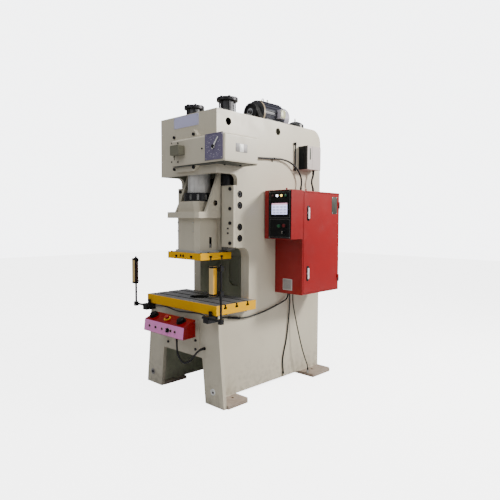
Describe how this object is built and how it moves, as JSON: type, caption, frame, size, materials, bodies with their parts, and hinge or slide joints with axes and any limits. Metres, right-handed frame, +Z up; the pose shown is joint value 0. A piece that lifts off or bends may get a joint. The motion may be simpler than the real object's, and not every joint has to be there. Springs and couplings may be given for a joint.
{
  "type": "C-frame mechanical stamping press",
  "caption": "Open-front mechanical stamping press with crank-driven slide, slotted bolster, two-hand station, light curtains and side electrical cabinet.",
  "frame": {"origin": "centre of the four anchor holes, on the floor", "axes": "+Z up, +Y from the operator to the back, +X to the machine's right side as seen from the front"},
  "size_m": [1.24, 1.6087, 2.584],
  "materials": {
    "frame_cream": "semi-gloss machine paint",
    "machine_yellow": "gloss paint",
    "cabinet_red": "powder coat",
    "station_red": "powder coat",
    "panel_black": "satin",
    "motor_navy": "gloss paint",
    "machined_steel": "ground",
    "black_steel": "blackened",
    "grey_iron": "machined",
    "bearing_bronze": "machined",
    "belt_rubber": "matt",
    "cable_grey": "matt",
    "cable_black": "matt",
    "dial_blue": "satin",
    "banner_pale": "satin",
    "switch_olive": "satin",
    "pointer_white": "satin",
    "tank_dark": "gloss paint",
    "panel_plate": "plain",
    "drive_grey": "satin",
    "button_green": "gloss",
    "button_red": "gloss",
    "button_black": "gloss"
  },
  "bodies": {
    "frame": {"side_plates": "frame_cream", "column_liners": "frame_cream", "crown_walls": "frame_cream", "crown_top_plate": "frame_cream", "cross_plates": "frame_cream", "bed_front_plate": "frame_cream", "foot_plates": "frame_cream", "gibs": "frame_cream", "frame_screws": "black_steel", "bolster": "machined_steel", "bearing_cover": "frame_cream", "cam_cover": "frame_cream", "dial_plate": "dial_blue", "cam_switch_box": "switch_olive", "banner_plate": "banner_pale", "cable_fittings": "black_steel", "balance_cylinders": "frame_cream", "air_tank": "tank_dark", "crank_bushes": "bearing_bronze", "motor": "motor_navy", "v_belts": "belt_rubber", "cabinet_shell": "cabinet_red", "hinge_pins": "machined_steel", "cabinet_panel": "panel_plate", "panel_box": "cabinet_red", "panel_face": "panel_black", "drive_box": "drive_grey", "gauge_tube": "cable_grey", "control_station": "station_red", "station_bracket": "frame_cream", "curtain_posts": "black_steel", "curtain_bars": "machine_yellow", "cam_cable": "cable_black", "drive_cable": "cable_black", "station_cable": "cable_grey", "table_cable": "cable_grey", "floor_cable": "cable_black", "earth_lead": "cable_black", "curtain_cable": "cable_black"},
    "slide": {"slide_body": "frame_cream", "ram_plate": "machine_yellow", "plunger_tube": "machined_steel", "ring_nut": "black_steel", "balance_rods": "machined_steel"},
    "crank": {"crankshaft": "machined_steel"},
    "connecting_rod": {"pitman": "grey_iron"},
    "knockout": {"knockout_bar": "machined_steel"},
    "flywheel_body": {"flywheel": "grey_iron"},
    "pulley_body": {"motor_pulley": "grey_iron"},
    "pointer": {"dial_pointer": "pointer_white"},
    "palm_left": {"palm_button_left": "button_black"},
    "palm_right": {"palm_button_right": "button_black"},
    "estop": {"estop_button": "button_red"},
    "station_knob": {"station_selector": "button_black"},
    "door": {"cabinet_door": "cabinet_red"},
    "lever_upper": {"door_lever_upper": "machined_steel"},
    "lever_lower": {"door_lever_lower": "machined_steel"},
    "start": {"start_button": "button_green"},
    "stop": {"stop_button": "button_red"},
    "mode_knob": {"mode_selector": "button_black"}
  },
  "joints": [
    {"name": "crank_turn", "type": "hinge", "parent": "frame", "child": "crank", "pos_m": [0, -0.5235, 1.99], "axis": [0, 1, 0], "range_deg": [0, 180]},
    {"name": "slide_stroke", "type": "slide", "parent": "frame", "child": "slide", "axis": [0, 0, -1], "range_m": [0, 0.08]},
    {"name": "rod_swing", "type": "hinge", "parent": "crank", "child": "connecting_rod", "pos_m": [0, -0.5235, 2.03], "axis": [0, 1, 0], "range_deg": [-180, 0]},
    {"name": "pointer_turn", "type": "hinge", "parent": "frame", "child": "pointer", "pos_m": [0.402, -0.7105, 1.986], "axis": [0, 1, 0], "range_deg": [0, 180]},
    {"name": "flywheel_turn", "type": "hinge", "parent": "frame", "child": "flywheel_body", "pos_m": [0, 0.1135, 1.99], "axis": [0, 1, 0], "continuous": true},
    {"name": "pulley_turn", "type": "hinge", "parent": "frame", "child": "pulley_body", "pos_m": [0, 0.1135, 2.431], "axis": [0, 1, 0], "continuous": true},
    {"name": "knockout_lift", "type": "slide", "parent": "slide", "child": "knockout", "axis": [0, 0, 1], "range_m": [0, 0.05]},
    {"name": "palm_press_left", "type": "slide", "parent": "frame", "child": "palm_left", "axis": [0, 0.387, -0.9221], "range_m": [0, 0.006], "stiffness_N_per_m": 1500},
    {"name": "palm_press_right", "type": "slide", "parent": "frame", "child": "palm_right", "axis": [0, 0.387, -0.9221], "range_m": [0, 0.006], "stiffness_N_per_m": 1500},
    {"name": "estop_press", "type": "slide", "parent": "frame", "child": "estop", "axis": [0, 0.387, -0.9221], "range_m": [0, 0.005]},
    {"name": "station_knob_turn", "type": "hinge", "parent": "frame", "child": "station_knob", "pos_m": [0.056, -0.8945, 0.5725], "axis": [0, -0.9921, 0.1253], "range_deg": [-45, 45]},
    {"name": "door_swing", "type": "hinge", "parent": "frame", "child": "door", "pos_m": [0.663, 0.56475, 1.2495], "axis": [0, 0, 1], "range_deg": [0, 110]},
    {"name": "lever_turn_upper", "type": "hinge", "parent": "door", "child": "lever_upper", "pos_m": [0.656, 0.1125, 1.5], "axis": [1, 0, 0], "range_deg": [0, 90]},
    {"name": "lever_turn_lower", "type": "hinge", "parent": "door", "child": "lever_lower", "pos_m": [0.656, 0.1125, 0.992], "axis": [1, 0, 0], "range_deg": [0, 90]},
    {"name": "start_press", "type": "slide", "parent": "frame", "child": "start", "axis": [0, 1, 0], "range_m": [0, 0.004], "stiffness_N_per_m": 600},
    {"name": "stop_press", "type": "slide", "parent": "frame", "child": "stop", "axis": [0, 1, 0], "range_m": [0, 0.004], "stiffness_N_per_m": 600},
    {"name": "mode_turn", "type": "hinge", "parent": "frame", "child": "mode_knob", "pos_m": [0.583, -0.1155, 1.342], "axis": [0, 1, 0], "range_deg": [-45, 45]}
  ],
  "couplings": [
    {"joint": "slide_stroke", "follows": "crank_turn", "m_per_rad": 0.025464},
    {"joint": "rod_swing", "follows": "crank_turn", "ratio": -1},
    {"joint": "pointer_turn", "follows": "crank_turn", "ratio": 1},
    {"joint": "pulley_turn", "follows": "flywheel_turn", "ratio": 3.3591}
  ]
}
